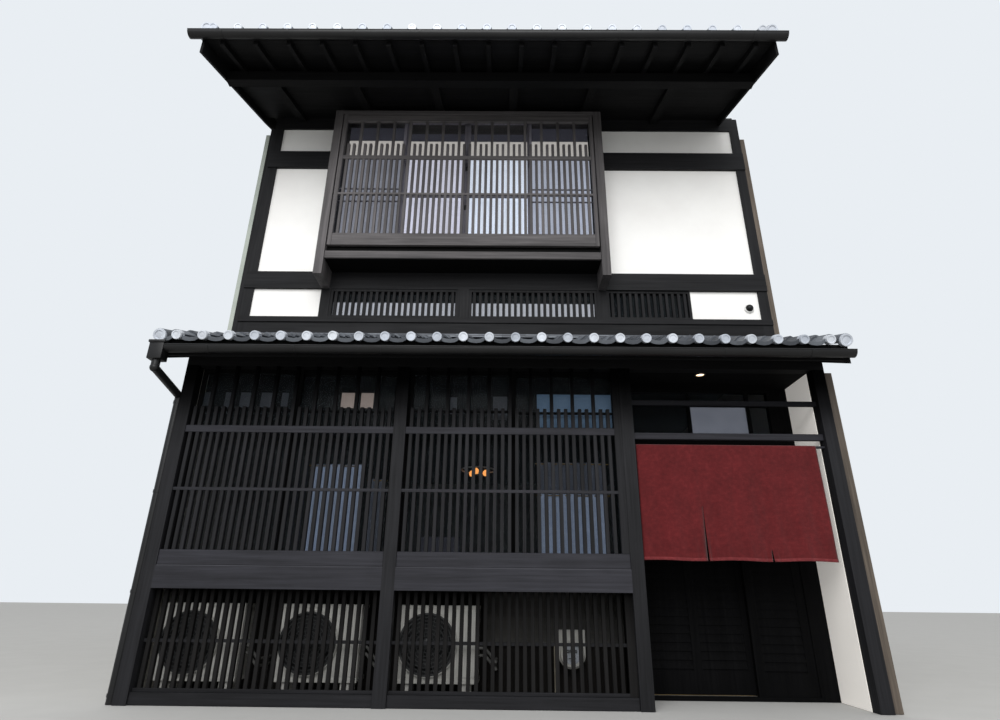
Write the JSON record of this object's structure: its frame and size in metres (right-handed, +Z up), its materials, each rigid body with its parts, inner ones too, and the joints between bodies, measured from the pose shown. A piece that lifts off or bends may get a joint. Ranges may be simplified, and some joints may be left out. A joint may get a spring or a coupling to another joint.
{
  "type": "machiya townhouse",
  "caption": "Two-storey timber townhouse with a latticed street front, plastered upper wall, lattice bay window, tiled roofs and a sliding entrance door behind a cloth curtain.",
  "frame": {"origin": "on the ground at the middle of the front, under the centre line of the street posts", "axes": "+X to the right along the street front, +Y from the street to the rear, +Z up"},
  "size_m": [6.13, 10.545, 8.4236],
  "materials": {
    "dark_timber": "black-brown stained timber, satin",
    "white_plaster": "smooth white lime plaster",
    "roof_tile": "smoked silver-grey roof tile",
    "black_metal": "black painted gutter",
    "rail_metal": "worn brass door rail",
    "pale_casing": "off-white sheet casing",
    "window_pane": "clear glass",
    "curtain_cloth": "dark red slubbed linen",
    "floor_screed": "trowelled grey screed"
  },
  "bodies": {
    "house": {"ground_sill": "dark_timber", "street_posts": "dark_timber", "waist_beam": "dark_timber", "lattice_sill": "dark_timber", "eave_beam": "dark_timber", "street_lattices": "dark_timber", "low_lattices": "dark_timber", "street_windows": "dark_timber", "window_glass": "window_pane", "window_head": "dark_timber", "niche_back": "dark_timber", "niche_top": "dark_timber", "outdoor_units": "pale_casing", "meter_box": "pale_casing", "porch_side_wall": "dark_timber", "porch_ceiling": "dark_timber", "door_jambs": "dark_timber", "threshold": "dark_timber", "transom": "dark_timber", "fixed_screen": "dark_timber", "door_rail": "rail_metal", "entrance_rails": "dark_timber", "curtain_pole": "dark_timber", "curtain": "curtain_cloth", "ground_floor": "floor_screed", "upper_floor": "dark_timber", "left_party_wall": "white_plaster", "right_party_wall": "white_plaster", "rear_wall_lower": "white_plaster", "rear_wall_upper": "white_plaster", "rear_timbers": "dark_timber", "rear_windows": "dark_timber", "upper_posts": "dark_timber", "upper_beams": "dark_timber", "face_rails": "dark_timber", "upper_plaster": "white_plaster", "low_vents": "dark_timber", "bay_sides": "dark_timber", "bay_top": "dark_timber", "bay_floor": "dark_timber", "bay_lattice": "dark_timber", "bay_screens": "dark_timber", "lower_roof": "roof_tile", "lower_rafters": "dark_timber", "upper_roof_front": "roof_tile", "upper_roof_rear": "roof_tile", "ridge": "roof_tile", "upper_rafters": "dark_timber", "eave_purlin": "dark_timber", "eave_arms": "dark_timber", "eave_ceiling": "dark_timber", "wall_flashing": "black_metal", "barge_boards": "dark_timber", "gutters": "black_metal", "downpipe": "black_metal"},
    "door": {"sliding_door": "dark_timber"}
  },
  "joints": [
    {"name": "door_slide", "type": "slide", "parent": "house", "child": "door", "axis": [-1, 0, 0], "range_m": [0, 0.9]}
  ]
}
